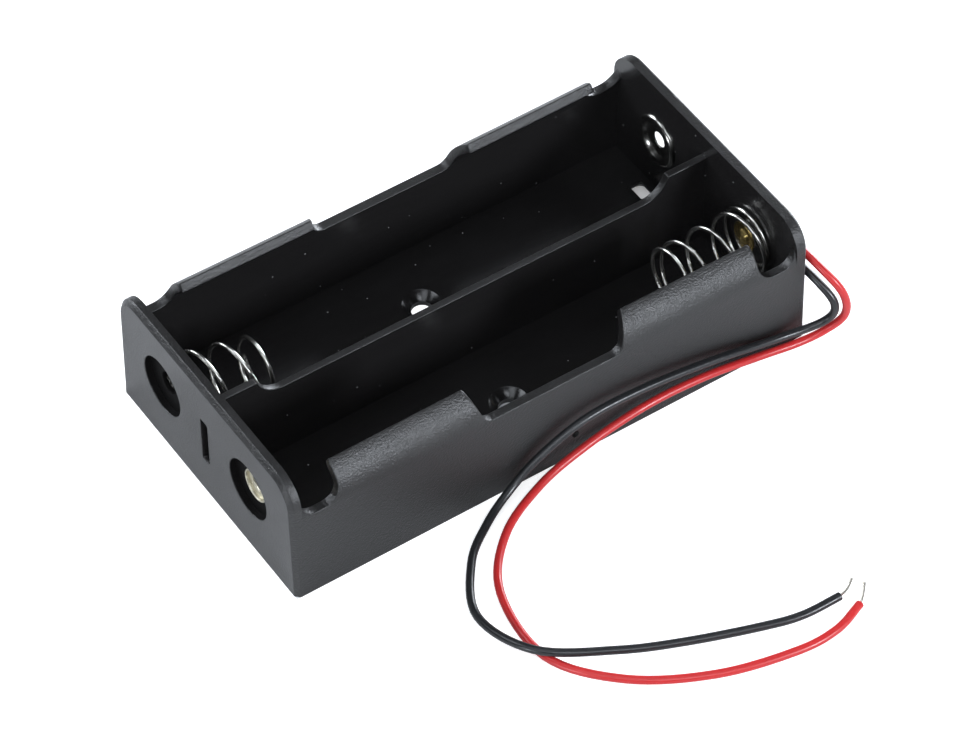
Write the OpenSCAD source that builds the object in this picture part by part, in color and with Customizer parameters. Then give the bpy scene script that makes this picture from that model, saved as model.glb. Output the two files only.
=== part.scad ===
// Open tray for two 18650 cells in series, with coil spring contacts, pressed plus contacts and two leads.
// +X runs along the cells towards the end with the leads, +Y across them, +Z up.
// The origin is under the middle of the floor, on the face that the tray stands on.

/* [Case] */
// Length over the end walls
case_l = 77; // [76:0.5:80]
// Width over the side walls at the floor
case_w = 41; // [40.6:0.1:42]
// Height of the end walls
case_h = 19.6; // [19.4:0.1:20.4]
// Thickness of the end walls
end_t = 1.6; // [1.4:0.1:2]
// Thickness of the side walls and their lips
side_t = 1.3; // [1.1:0.1:1.5]
// Thickness of the floor
floor_t = 1.8; // [1.5:0.1:2.2]
// Radius of the top corners of the end walls
end_corner_r = 4.2; // [3:0.1:5]
// Bevel round the outer edge of the end walls
end_bevel = 0.6; // [0.3:0.1:0.8]

/* [Side walls] */
// How far a side wall leans in for each millimetre of height
lean = 0.03; // [0:0.005:0.04]
// Height at which a side wall starts to curl over the cell
curl_z = 13.5; // [13:0.1:13.7]
// Outer radius of the curl
curl_r = 6; // [5.5:0.1:6.5]
// Height of the lips
lip_z = 18.5; // [18:0.1:18.8]
// Height of the side walls in the finger cut-out and in the notches
low_z = 13.9; // [13.8:0.1:14.4]
// Half the length of the finger cut-out along its low edge
cut_low = 10; // [8:0.5:12]
// Half the length of the finger cut-out along the lips
cut_high = 11.8; // [11:0.2:14]
// Width of the notch between a lip and an end wall
notch_w = 5.6; // [5:0.1:6.5]

/* [Rib] */
// Thickness of the rib between the cells
rib_t = 1; // [0.8:0.1:1.2]
// Height of the rib
rib_z = 13.4; // [12:0.1:14]
// Height of the rib's raised ends
rib_end_z = 16.4; // [15.6:0.1:16.8]
// Radius of the hollow between the rib and a raised end
rib_r = 3.8; // [3.4:0.1:4.4]
// Distance from the middle to the centre of that hollow
rib_hollow_x = 27.1; // [26:0.1:28]

/* [Contacts] */
// Distance between the two cell axes
pitch = 20; // [19.8:0.1:20.4]
// Height of the cell contacts
contact_z = 10.6; // [10.2:0.1:11]
// Diameter of the recesses in the outer faces of the end walls
recess_d = 8.4; // [8:0.1:9]
// Depth of those recesses
recess_t = 1; // [0.8:0.1:1.1]
// Diameter of a plus contact's flange
flange_d = 7; // [6.6:0.1:7.4]
// Diameter of the boss that holds a plus contact in its hole
boss_d = 4.7; // [4.4:0.1:5]
// Diameter of the hole in the end wall behind a spring
rivet_hole_d = 3.1; // [3:0.1:3.4]
// Thickness of the strip that links the two contacts at one end
strip_t = 0.3; // [0.2:0.1:0.4]

/* [Springs] */
// Diameter of the spring wire
wire_d = 0.54; // [0.4:0.02:0.6]
// Mean radius of the coils at the wall
coil_r = 4.7; // [4.2:0.1:4.8]
// Mean radius of the front spring's coils at its free end
front_end_r = 4.4; // [3.8:0.1:4.8]
// Mean radius of the rear spring's coils at its free end
rear_end_r = 3.8; // [3.6:0.1:4.8]
// Free length of the front spring, over its wire
front_l = 12.6; // [11:0.2:14]
// Free length of the rear spring, over its wire
rear_l = 11.5; // [10.5:0.2:14]
// Open turns of the front spring
front_turns = 2.75; // [2.5:0.05:3.5]
// Open turns of the rear spring
rear_turns = 2.45; // [2.3:0.05:3.5]

/* [Floor] */
// Clearance diameter of the screw holes
screw_d = 2.9; // [2.5:0.1:3.2]
// Diameter of the countersinks
sink_d = 5.1; // [4.6:0.1:5.6]

/* [Leads] */
// Diameter of a lead over its sheath
lead_d = 1.1; // [1:0.1:1.3]
// Diameter of the bare strands at a lead's end
strand_d = 0.6; // [0.4:0.1:0.7]

/* [Hidden] */
eps = 0.01;
inner_x = case_l / 2 - end_t;
cell_y = pitch / 2;
recess_x = case_l / 2 - recess_t;
lip_x0 = inner_x - notch_w;
cut_foot_r = 1.6;
cut_head_r = 1.2;
lip_end_r = 0.8;
notch_r = 2.3;
slot_w = 1.6;
slot_z = [6, 13.4];
window_l = 1.7;
window_w = 2.7;
window_x = 1;
window_y = 1.2;
side_hole_d = 1;
side_hole_x = 3;
side_hole_z = 3.6;
arc_steps = 10;
corner_steps = 6;
wire_sides = 8;
turn_steps = 18;
shank_d = rivet_hole_d - 0.2;
rivet_head_d = 3.3;
rivet_tail_d = 4;
tail_t = 0.5;
plate_t = 0.3;
link_w = 5;
eye_r = shank_d / 2 + wire_d / 2 + 0.04;
solder_r = 1.7;
stub_d = 0.8;
// Turns of a spring's eye, of the spiral out to its coils, and of its closed turns at both ends
eye_turns = 0.85;
spiral_turns = 0.75;
closed_turns = 1;
end_turns = 0.9;
// How far the axis of a spring's coils hangs down and moves to the side, at the wall and at the free end
front_hang = [[0.6, -0.3], [0.7, -0.4]];
rear_hang = [[-0.3, 1.2], [3.6, 1.3]];
// Angle round its eye at which each spring's wire starts
front_phase = 83;
rear_phase = 283;

// Points that the leads pass, from the solder joints to their free ends beside the tray
red_route = [[39, 7.8, 10.6], [39.3, -3, 12], [39.4, -13, 12.9], [40.4, -20.4, 11.7], [42, -23.5, 8.5],
             [42.4, -23.7, 4.5], [40.4, -22.4, 1.5], [36.5, -21.7, 0.75], [31, -21.2, 1.3], [22, -21.2, 3],
             [13, -21.2, 3.3], [4, -21.3, 1.7], [-4, -22.7, 0.7], [-12, -26.8, 0.6], [-17.6, -34, 0.6],
             [-18.6, -45, 0.6], [-12.5, -53.3, 0.6], [-3, -58.8, 0.6], [7, -61.4, 0.6], [13, -61.5, 0.6],
             [17.7, -60, 0.8]];
black_route = [[39, -12.3, 10.5], [39.3, -16, 10.3], [40.2, -20.6, 9.1], [41.2, -23, 6.4],
               [40.2, -22.4, 3.4], [34, -21.2, 2.9], [24, -21.2, 5.2], [13, -21.2, 6.9], [4, -21.2, 6.9],
               [-3, -21.3, 4.4], [-8, -21.9, 1.7], [-13, -24.2, 0.8], [-18, -28.2, 0.7], [-22, -35.5, 0.7],
               [-19.6, -44.2, 1.75], [-11, -49.3, 0.9], [-3, -52.8, 0.6], [6, -56.1, 0.6], [11, -57.4, 0.6],
               [16.4, -57.7, 0.8]];
red_bare = [[17.7, -60, 0.8], [18.6, -59.3, 1.2], [19.6, -58.2, 1.8]];
black_bare = [[16.4, -57.7, 0.8], [17.6, -57.4, 1], [18.9, -56.6, 1.4]];

// Points of an arc about c, from angle a0 to angle a1
function arc(c, r, a0, a1, steps = arc_steps) =
  [for (i = [0:steps]) let (a = a0 + (a1 - a0) * i / steps) c + r * [cos(a), sin(a)]];

function unit(v) = v / norm(v);

// Arc that rounds the corner at b, between a and c, by radius r
function round_corner(a, b, c, r) =
  let (u = unit(a - b), v = unit(c - b), half = acos(u * v) / 2, centre = b + unit(u + v) * r / sin(half),
       p = b + u * r / tan(half) - centre, a0 = atan2(p.y, p.x), turn = 180 - 2 * half,
       way = u.x * v.y - u.y * v.x > 0 ? -1 : 1)
  arc(centre, r, a0, a0 + way * turn, corner_steps);

// Closed outline through corners [x, y, radius], each rounded by its radius where that isn't 0
function rounded(corners) =
  let (n = len(corners), xy = [for (k = corners) [k.x, k.y]])
  [for (i = [0:n - 1]) let (r = corners[i][2])
    each r == 0 ? [xy[i]] : round_corner(xy[(i + n - 1) % n], xy[i], xy[(i + 1) % n], r)];

// Corners of half an outline, with the same corners mirrored across x = 0 before them
function both_sides(corners) =
  let (n = len(corners))
  concat([for (i = [n - 1:-1:0]) [-corners[i].x, corners[i].y, corners[i][2]]], corners);

// Distance of a side wall's outer face from the middle, at height z
function wall_y(z) = case_w / 2 - lean * z;

// Smooth curve through the points of a route, with two steps between points
function between(a, b, c, d, t) =
  0.5 * (2 * b + (c - a) * t + (2 * a - 5 * b + 4 * c - d) * t * t + (3 * b - a - 3 * c + d) * t * t * t);
function curve(route) =
  let (n = len(route), ends = concat([2 * route[0] - route[1]], route, [2 * route[n - 1] - route[n - 2]]))
  concat([for (i = [0:n - 2], t = [0, 0.5]) between(ends[i], ends[i + 1], ends[i + 2], ends[i + 3], t)],
         [route[n - 1]]);

// Round wire or cord of diameter d along a path, with flat ends
module tube(path, d, sides) {
  last = len(path) - 1;
  along = [for (i = [0:last]) unit(path[min(i + 1, last)] - path[max(i - 1, 0)])];
  start = unit(cross(along[0], abs(along[0].z) < 0.9 ? [0, 0, 1] : [1, 0, 0]));
  across = [for (i = 0, v = start; i <= last;
                 i = i + 1, v = let (t = along[min(i, last)]) unit(v - (v * t) * t)) v];
  skin = [for (i = [0:last], k = [0:sides - 1]) let (a = 360 * k / sides)
           path[i] + d / 2 * (cos(a) * across[i] + sin(a) * cross(along[i], across[i]))];
  walls = [for (i = [0:last - 1], k = [0:sides - 1])
            let (p = i * sides + k, q = i * sides + (k + 1) % sides)
            each [[p, p + sides, q], [q, p + sides, q + sides]]];
  caps = [[for (k = [0:sides - 1]) k], [for (k = [sides - 1:-1:0]) last * sides + k]];
  polyhedron(skin, concat(walls, caps));
}

// Stands a shape drawn in the Y-Z plane up and extrudes it along +X
module along_x(l) {
  rotate([90, 0, 90]) linear_extrude(l) children();
}

// Stands a shape drawn in the X-Z plane up and extrudes it along -Y
module along_y(l) {
  rotate([90, 0, 0]) linear_extrude(l) children();
}

// Turns a shape that stands along +Z so that it points along -X, out of the wall at the lead end
module off_wall(y) {
  translate([inner_x, y, contact_z]) rotate([0, -90, 0]) children();
}

// Section of one side wall: leaning, then curled over the cell, seen along the cells
module wall_section() {
  a0 = atan(lean);
  centre = [wall_y(curl_z), curl_z] - curl_r * [cos(a0), sin(a0)];
  a1 = asin((lip_z - centre.y) / curl_r);
  polygon(concat([[case_w / 2, 0]], arc(centre, curl_r, a0, a1), arc(centre, curl_r - side_t, a1, a0),
                 [[case_w / 2 - side_t, 0]]));
}

// Side wall seen from outside: low along the finger cut-out and in the notches at its ends
module wall_outline() {
  top = lip_z + 0.3;
  polygon(rounded(both_sides([[cut_low, low_z, cut_foot_r], [cut_high, top, cut_head_r],
                              [lip_x0, top, lip_end_r], [lip_x0, low_z, notch_r], [inner_x, low_z, notch_r],
                              [inner_x, lip_z, 0], [inner_x + eps, lip_z, 0], [inner_x + eps, 0, 0]])));
}

module side_wall() {
  intersection() {
    translate([-case_l / 2, 0, 0]) along_x(case_l) wall_section();
    translate([0, case_w, 0]) along_y(case_w) wall_outline();
  }
}

// Outline of an end wall, smaller by inset all round except at the floor
function end_outline(inset) =
  let (top_y = wall_y(case_h) - inset, r = end_corner_r - inset)
  rounded([[case_w / 2 - inset, 0, 0], [top_y, case_h - inset, r], [-top_y, case_h - inset, r],
           [-case_w / 2 + inset, 0, 0]]);

// Solid between two outlines with as many points, the second one h above the first
module loft(low, high, h) {
  n = len(low);
  sides = [for (i = [0:n - 1]) let (j = (i + 1) % n) each [[i, n + i, j], [j, n + i, n + j]]];
  polyhedron(concat([for (p = low) [p.x, p.y, 0]], [for (p = high) [p.x, p.y, h]]),
             concat(sides, [[for (i = [0:n - 1]) i], [for (i = [n - 1:-1:0]) n + i]]));
}

// End wall with a bevel round its outer edge
module end_wall() {
  translate([inner_x, 0, 0]) along_x(end_t - end_bevel + eps) polygon(end_outline(0));
  translate([case_l / 2 - end_bevel, 0, 0]) rotate([90, 0, 90])
    loft(end_outline(0), end_outline(end_bevel), end_bevel);
}

// Rib between the cells, with raised ends
module rib() {
  rise = asin((rib_r - rib_end_z + rib_z) / rib_r);
  hollow = [rib_hollow_x, rib_z + rib_r];
  right = concat(arc(hollow, rib_r, 270, 360 - rise), [[inner_x + eps, rib_end_z], [inner_x + eps, 0]]);
  left = [for (i = [len(right) - 1:-1:0]) [-right[i].x, right[i].y]];
  translate([0, rib_t / 2, 0]) along_y(rib_t) polygon(concat(left, right));
}

// Recess in the outer face of the end wall at the lead end, with a hole of diameter d through its floor
module recess(y, d) {
  translate([recess_x, y, contact_z]) rotate([0, 90, 0]) cylinder(h = end_t, d = recess_d, $fn = 64);
  translate([inner_x - 1, y, contact_z]) rotate([0, 90, 0]) cylinder(h = end_t + 1, d = d, $fn = 48);
}

module screw_hole(y) {
  translate([0, y, -1]) cylinder(h = floor_t + 2, d = screw_d, $fn = 48);
  translate([0, y, floor_t - (sink_d - screw_d) / 2])
    cylinder(h = (sink_d - screw_d) / 2 + eps, d1 = screw_d, d2 = sink_d + 2 * eps, $fn = 48);
}

module case() {
  color("#232427") difference() {
    union() {
      translate([-inner_x - eps, -case_w / 2, 0]) cube([2 * (inner_x + eps), case_w, floor_t]);
      rib();
      for (turn = [0, 180]) rotate(turn) {
        side_wall();
        end_wall();
      }
    }
    for (turn = [0, 180]) rotate(turn) {
      recess(cell_y, boss_d);
      recess(-cell_y, rivet_hole_d);
      // Window in the floor under the plus contact
      translate([inner_x - window_x - window_l, cell_y - window_y, -1])
        cube([window_l, window_w, floor_t + 2]);
      screw_hole(cell_y);
    }
    // Slot for the link strip, through the end wall and the rib
    translate([-case_l / 2 - 1, -slot_w / 2, slot_z[0]]) cube([end_t + 2, slot_w, slot_z[1] - slot_z[0]]);
    // Small hole low in the wall on the front side
    translate([side_hole_x, -case_w / 2 - 1, side_hole_z]) rotate([-90, 0, 0])
      cylinder(h = side_t + 2, d = side_hole_d, $fn = 24);
  }
}

// Points of a spring from the wall outwards: an eye round the rivet, a spiral out to the coils,
// one closed turn, the open turns and a closed turn at the free end, with the coils hanging from the eye
function spring_path(l, end_r, open_turns, phase, hang) =
  let (low = wire_d / 2 + 0.03, high = l - wire_d / 2, coils = eye_turns + spiral_turns,
       closed = coils + closed_turns, open = closed + open_turns, total = open + end_turns,
       steps = round(total * turn_steps))
  [for (i = [0:steps])
    let (t = total * i / steps, a = 360 * t + phase,
         r = lookup(t, [[eye_turns, eye_r], [coils, coil_r], [open, end_r]]),
         z = lookup(t, [[coils, low], [closed, low + wire_d + 0.05], [open, high - 0.2], [total, high]]),
         down = lookup(t, [[eye_turns, 0], [coils, hang[0].x], [total, hang[1].x]]),
         aside = lookup(t, [[eye_turns, 0], [coils, hang[0].y], [total, hang[1].y]]))
    [r * cos(a) - down, r * sin(a) + aside, z]];

module front_spring() {
  color("#c9cacb") off_wall(-cell_y)
    tube(spring_path(front_l, front_end_r, front_turns, front_phase, front_hang), wire_d, wire_sides);
}

module rear_spring() {
  color("#c9cacb") rotate(180) translate([-strip_t, 0, 0]) off_wall(-cell_y)
    tube(spring_path(rear_l, rear_end_r, rear_turns, rear_phase, rear_hang), wire_d, wire_sides);
}

// Plus contact: a beaded flange, a cup pressed into the wall and a raised button in the middle
module plus_contact(seat) {
  t = plate_t;
  back = -(end_t - recess_t) - seat;
  rim = flange_d / 2;
  cup = boss_d / 2;
  button = 1.1;
  button_z = 0.1;
  color("#d6d5c4") rotate_extrude($fn = 64)
    polygon(concat([[0, button_z], [button, button_z], [button + t / 2, back + t], [cup - t, back + t],
                    [cup - t, 0.2]],
                   arc([(rim + cup) / 2, 0.05], (rim - cup) / 2 + 0.05, 160, 0),
                   [[rim + 0.05, 0], [cup, 0], [cup, back], [button - t / 2, back],
                    [button - t, button_z - t], [0, button_z - t]]));
}

module far_contact() {
  off_wall(cell_y) plus_contact(0);
}

module near_contact() {
  rotate(180) translate([-strip_t, 0, 0]) off_wall(cell_y) plus_contact(strip_t);
}

// Strip on the inside of the end wall: from the near plus contact, through the rib, to the spring beside it
module link_strip() {
  color("#c4c2b0") difference() {
    translate([-inner_x, 0, 0]) along_x(strip_t) union() {
      for (side = [-1, 1]) translate([side * cell_y, contact_z]) circle(d = flange_d + 1.6, $fn = 64);
      translate([-cell_y, contact_z - link_w / 2]) square([pitch, link_w]);
    }
    for (hole = [[-cell_y, boss_d], [cell_y, rivet_hole_d]])
      translate([-inner_x - 1, hole[0], contact_z]) rotate([0, 90, 0])
        cylinder(h = 3, d = hole[1], $fn = 48);
  }
}

// Brass rivet through the spring's eye and the end wall, with its tail flared in the recess
module spring_rivet() {
  head_z = wire_d + 0.08;
  tail_z = -(end_t - recess_t);
  color("#b8983a") off_wall(-cell_y) rotate_extrude($fn = 64)
    polygon(concat([[0, tail_z - tail_t], [rivet_tail_d / 2, tail_z - tail_t], [rivet_tail_d / 2, tail_z],
                    [shank_d / 2, tail_z], [shank_d / 2, head_z]],
                   [for (a = [0:15:90]) [rivet_head_d / 2 * cos(a), head_z + 0.2 + 0.7 * sin(a)]]));
}

// Cap of solder on a contact in its recess, drawn out along the bare strands to the lead's sheath
module solder(y, base, y_end, x_lead) {
  cap_h = x_lead - base + 0.45;
  color("#b9bcc0") union() {
    translate([base, y, contact_z]) rotate([0, 90, 0]) rotate_extrude($fn = 48)
      polygon(concat([[0, 0]], [for (a = [0:10:90]) [solder_r * cos(a), cap_h * sin(a)]]));
    translate([x_lead, y_end, contact_z]) rotate([-90, 0, 0]) cylinder(h = y - y_end, d = stub_d, $fn = 24);
  }
}

module red_lead() {
  color("#d93a36") tube(curve(red_route), lead_d, 8);
}

module red_strands() {
  color("#c9c5bd") tube(red_bare, strand_d, 8);
}

module red_solder() {
  solder(cell_y, recess_x, red_route[0].y, red_route[0].x);
}

module black_lead() {
  color("#2a2b2d") tube(curve(black_route), lead_d, 8);
}

module black_strands() {
  color("#c9c5bd") tube(black_bare, strand_d, 8);
}

module black_solder() {
  solder(-cell_y, recess_x + tail_t, black_route[0].y, black_route[0].x);
}

case();
front_spring();
rear_spring();
far_contact();
near_contact();
link_strip();
spring_rivet();
red_lead();
red_strands();
red_solder();
black_lead();
black_strands();
black_solder();
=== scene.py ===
"""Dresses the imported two-cell tray in the CAD's frame: shell, springs, contacts, rivet, solder and leads."""

import math

import bmesh
import bpy
from mathutils import Matrix, Vector


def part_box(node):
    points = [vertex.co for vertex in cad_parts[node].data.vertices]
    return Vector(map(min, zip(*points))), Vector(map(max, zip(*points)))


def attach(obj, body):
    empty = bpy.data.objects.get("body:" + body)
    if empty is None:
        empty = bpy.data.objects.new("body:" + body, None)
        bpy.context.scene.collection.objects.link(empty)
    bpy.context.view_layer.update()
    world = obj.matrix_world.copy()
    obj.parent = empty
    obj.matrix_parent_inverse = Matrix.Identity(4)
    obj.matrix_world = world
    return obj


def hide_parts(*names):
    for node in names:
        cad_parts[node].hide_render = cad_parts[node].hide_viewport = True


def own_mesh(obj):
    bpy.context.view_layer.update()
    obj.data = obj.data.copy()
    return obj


bl_info = {
    "name": "Cylindrical cell holder",
    "version": (1, 0, 0),
    "blender": (4, 5, 0),
    "location": "View3D > Sidebar > Cell holder",
    "description": "Open tray for two cylindrical cells, with coil springs, plus contacts and two leads",
    "category": "Object",
}

MM = 0.001
# How far the tray's plates reach below the underside before they are joined and cut flush
FOOT = 2 * MM
# Finishes of the tray; its plates give them to their faces by number
TRAY_FINISHES = ("Moulded ABS", "Polished ABS", "Matt ABS painted shade")
MOULDED, POLISHED, MATT_SHADED = range(3)
ABS_IOR = 1.54
DUST_GREY = 0.3
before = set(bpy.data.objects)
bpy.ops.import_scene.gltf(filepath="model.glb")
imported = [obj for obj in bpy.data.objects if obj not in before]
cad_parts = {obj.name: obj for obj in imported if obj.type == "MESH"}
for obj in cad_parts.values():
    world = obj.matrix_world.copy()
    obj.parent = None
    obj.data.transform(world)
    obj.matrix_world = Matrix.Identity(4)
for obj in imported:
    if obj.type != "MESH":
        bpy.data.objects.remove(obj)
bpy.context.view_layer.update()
CASE_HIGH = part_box("case")[1]


def linear(code):
    """Linear RGB of an sRGB colour written as six hex digits."""
    parts = [int(code[i : i + 2], 16) / 255 for i in (0, 2, 4)]
    return [c / 12.92 if c <= 0.04045 else ((c + 0.055) / 1.055) ** 2.4 for c in parts]


def length(name, millimetres, description):
    """Length property, given in millimetres and kept in metres."""
    return bpy.props.FloatProperty(
        name=name, description=description, default=millimetres * MM, unit="LENGTH", precision=5
    )


def colour(name, code, description):
    """Colour property, given as sRGB hex digits and kept linear."""
    return bpy.props.FloatVectorProperty(
        name=name, description=description, default=linear(code), subtype="COLOR", min=0, max=1
    )


def number(name, value, description):
    """Plain number, such as a slope or the turns of a spring's wire."""
    return bpy.props.FloatProperty(name=name, description=description, default=value, min=0)


class ShellSizes(bpy.types.PropertyGroup):
    """Sizes of the moulded tray."""

    end_t: length("End wall", 1.6, "Thickness of the end walls")
    side_t: length("Side wall", 1.3, "Thickness of the side walls and their lips")
    floor_t: length("Floor", 1.8, "Thickness of the floor")
    corner_r: length("End corner radius", 4.2, "Radius of the top corners of the end walls")
    end_edge: length("End wall edge", 0.6, "Rounding of the outer edge of the end walls")
    rim: length("Rim", 0.14, "Rounding of the thin edges")
    lean: number("Lean", 0.03, "Lean of the side walls by their height")
    bow: number("Bow", 0.017, "Lean that the middle of a side wall adds")
    curl_z: length("Curl height", 13.5, "Height at which a side wall starts to curl over the cell")
    curl_r: length("Curl radius", 6, "Outer radius of the curl")
    lip_z: length("Lip height", 18.5, "Height of the lips")
    low_z: length("Low edge", 13.9, "Height of the finger cut-out and of the notches")
    cut_low: length("Cut-out foot", 10, "Half the length of the finger cut-out along its low edge")
    cut_high: length("Cut-out head", 11.8, "Half the length of the finger cut-out along the lips")
    notch_w: length("Notch", 5.6, "Width of the notch between a lip and an end wall")
    rib_t: length("Rib", 1, "Thickness of the rib between the cells")
    rib_z: length("Rib height", 13.4, "Height of the rib")
    rib_end_z: length("Rib end height", 16.4, "Height of the rib's raised ends")
    rib_r: length("Rib hollow radius", 3.8, "Radius of the hollow between the rib and a raised end")
    rib_hollow_x: length("Rib hollow", 27.1, "Distance from the middle to the centre of that hollow")
    recess_d: length("Recess", 8.4, "Diameter of the recesses in the end walls")
    recess_t: length("Recess depth", 1, "Depth of those recesses")
    boss_d: length("Contact hole", 4.7, "Diameter of the holes that hold the plus contacts")
    rivet_hole_d: length("Rivet hole", 3.1, "Diameter of the holes behind the springs")
    screw_d: length("Screw hole", 2.9, "Diameter of the screw holes")
    sink_d: length("Countersink", 5.1, "Diameter of the countersinks")


class ContactSizes(bpy.types.PropertyGroup):
    """Sizes of the springs, plus contacts and rivet."""

    pitch: length("Cell pitch", 20, "Distance between the two cell axes")
    height: length("Contact height", 10.6, "Height of the contacts above the base")
    wire: length("Spring wire", 0.54, "Diameter of the spring wire")
    coil: length("Coil radius", 4.7, "Mean radius of the coils at the wall")
    eye: length("Eye radius", 1.76, "Mean radius of the wire's eye round the rivet")
    eye_turns: number("Eye turns", 0.85, "Turns of the wire round the rivet")
    spiral_turns: number("Spiral turns", 0.75, "Turns of the spiral from the eye out to the coils")
    closed_turns: number("Closed turns", 1, "Closed turns at the wall")
    end_turns: number("End turns", 0.9, "Closed turns at the free end")
    strip: length("Strip", 0.3, "Thickness of the link strip")


class LeadSizes(bpy.types.PropertyGroup):
    """Sizes of the two leads."""

    sheath: length("Sheath diameter", 1.1, "Diameter of a lead over its sheath")
    bundle: length("Bundle diameter", 0.36, "Diameter of the bare strands together")
    strands: bpy.props.IntProperty(name="Strands", description="Tinned copper strands in a lead", default=7)


class HolderColours(bpy.types.PropertyGroup):
    """Colours of the finishes."""

    shell: colour("Shell", "1d1c1c", "Black moulded ABS of the tray")
    red: colour("Red sheath", "c4292a", "Sheath of the plus lead")
    black: colour("Black sheath", "1d1e20", "Sheath of the minus lead")
    nickel: colour("Spring steel", "cfcdc8", "Nickel-plated spring wire")
    plate: colour("Contact plate", "cfcab8", "Nickel-plated steel of contacts and strip")
    brass: colour("Brass", "d9c07c", "Rivet through the spring's eye")
    tinned: colour("Tinned copper", "d5d0c6", "Bare strands of the leads")
    solder: colour("Solder", "b9bcc0", "Solder on the contacts' backs")


def sizes(name):
    """One of the property groups kept on the scene."""
    return getattr(bpy.context.scene, name)


def node(tree, kind, inputs=(), **settings):
    """Adds a node with its settings, and gives its inputs, by name or in order, values or links."""
    made = tree.nodes.new(kind)
    for name, value in settings.items():
        setattr(made, name, value)
    for key, value in inputs.items() if isinstance(inputs, dict) else enumerate(inputs):
        if isinstance(value, bpy.types.Node):
            value = value.outputs[0]
        if isinstance(value, bpy.types.NodeSocket):
            tree.links.new(value, made.inputs[key])
        else:
            made.inputs[key].default_value = value
    return made


def new_material(name):
    """Empty node material; returns it with its tree and the Object coordinates."""
    made = bpy.data.materials.new(name)
    made.use_nodes = True
    made.node_tree.nodes.clear()
    where = node(made.node_tree, "ShaderNodeTexCoord").outputs["Object"]
    return made, made.node_tree, where


def toned(tint, share=1.0):
    """Colour at this share of its brightness, as a colour socket takes it."""
    return [*(c * share for c in tint), 1]


def surface(tree, relief, colours, roughness, **more):
    """Ends a material: relief is height, strength and depth, colours a factor and the two it blends."""
    height, strength, depth = relief
    factor, first, second = colours
    bump = node(tree, "ShaderNodeBump", {"Height": height, "Strength": strength, "Distance": depth})
    mix = node(tree, "ShaderNodeMix", {0: factor, 6: first, 7: second}, data_type="RGBA")
    inputs = {"Base Color": mix.outputs[2], "Roughness": roughness, "Normal": bump, **more}
    node(tree, "ShaderNodeOutputMaterial", [node(tree, "ShaderNodeBsdfPrincipled", inputs)])


def moulded_abs():
    """Black ABS, injection moulded in a spark-eroded mould: a satin skin with a fine pebbled grain."""
    made, tree, where = new_material("Moulded ABS")
    shell = sizes("holder_colours").shell
    # Grain of the eroded mould: pebbles about 0.24 mm wide, as coarse as they need to be to show
    pebbles = node(
        tree, "ShaderNodeTexNoise", {"Vector": where, "Scale": 4200, "Detail": 2, "Roughness": 0.6}
    )
    # Slow change of gloss where the plastic flowed, over about 12 mm
    flow = node(tree, "ShaderNodeTexNoise", {"Vector": where, "Scale": 80, "Detail": 3})
    surface(
        tree,
        relief=(pebbles, 0.5, 0.2 * MM),
        colours=(flow, toned(shell, 0.6), toned(shell, 0.85)),
        roughness=node(tree, "ShaderNodeMapRange", [flow, 0.35, 0.65, 0.28, 0.36]),
        IOR=ABS_IOR,
    )
    return made


def polished_abs():
    """The same ABS where the mould's core was polished: glossy enough to mirror the walls softly, and lighter
    than the outer faces as painted light.
    """
    made, tree, where = new_material("Polished ABS")
    shell = sizes("holder_colours").shell
    # Faint drag marks of the core along the cells, about 0.4 mm apart
    stretched = node(tree, "ShaderNodeMapping", {"Vector": where, "Scale": (0.1, 1, 1)})
    marks = node(tree, "ShaderNodeTexNoise", {"Vector": stretched, "Scale": 2400, "Detail": 2})
    # Specks of dust up to 0.2 mm wide, one on each square centimetre or so
    cells = node(tree, "ShaderNodeTexVoronoi", {"Vector": where, "Scale": 400})
    speck = node(tree, "ShaderNodeMapRange", [cells, 0.03, 0.045, 1, 0])
    # Painted light: the inner faces take a lighter copy of the shell's colour than the outer faces, varied by
    # the drag marks
    plain = node(
        tree, "ShaderNodeMix", {0: marks, 6: toned(shell, 0.95), 7: toned(shell, 1.15)}, data_type="RGBA"
    )
    surface(
        tree,
        relief=(marks, 0.04, 0.03 * MM),
        colours=(speck, plain.outputs[2], toned([DUST_GREY] * 3)),
        roughness=node(tree, "ShaderNodeMapRange", [marks, 0.3, 0.7, 0.17, 0.25]),
        IOR=ABS_IOR,
    )
    return made


def shaded_matt_abs():
    """The same ABS in the recesses, with a coarse eroded grain of about 0.25 mm and a darker copy of its
    colour as painted shade.
    """
    made, tree, where = new_material("Matt ABS painted shade")
    shell = sizes("holder_colours").shell
    pits = node(tree, "ShaderNodeTexNoise", {"Vector": where, "Scale": 4000, "Detail": 3})
    # The low IOR stands in for the depth of the grain: a smooth face would shine at a low angle
    surface(
        tree,
        relief=(pits, 0.5, 0.08 * MM),
        # Painted shade: the recesses take a darker copy of the shell's colour than the outer faces
        colours=(pits, toned(shell, 0.4), toned(shell, 0.6)),
        roughness=0.5,
        IOR=1.08,
    )
    return made


def soft_pvc(name, tint):
    """Extruded soft PVC sheath: a smooth gloss that is a little uneven along the lead."""
    made, tree, where = new_material(name)
    # Unevenness of the extrusion, over about 3 mm, and dust that dulls it in spots of about 0.5 mm
    uneven = node(tree, "ShaderNodeTexNoise", {"Vector": where, "Scale": 330, "Detail": 2})
    dust = node(tree, "ShaderNodeTexNoise", {"Vector": where, "Scale": 2000, "Detail": 3})
    surface(
        tree,
        relief=(uneven, 0.25, 0.08 * MM),
        colours=(uneven, toned(tint, 0.86), toned(tint)),
        roughness=node(tree, "ShaderNodeMapRange", [dust, 0.4, 0.7, 0.28, 0.42]),
        IOR=1.53,
    )
    return made


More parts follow.
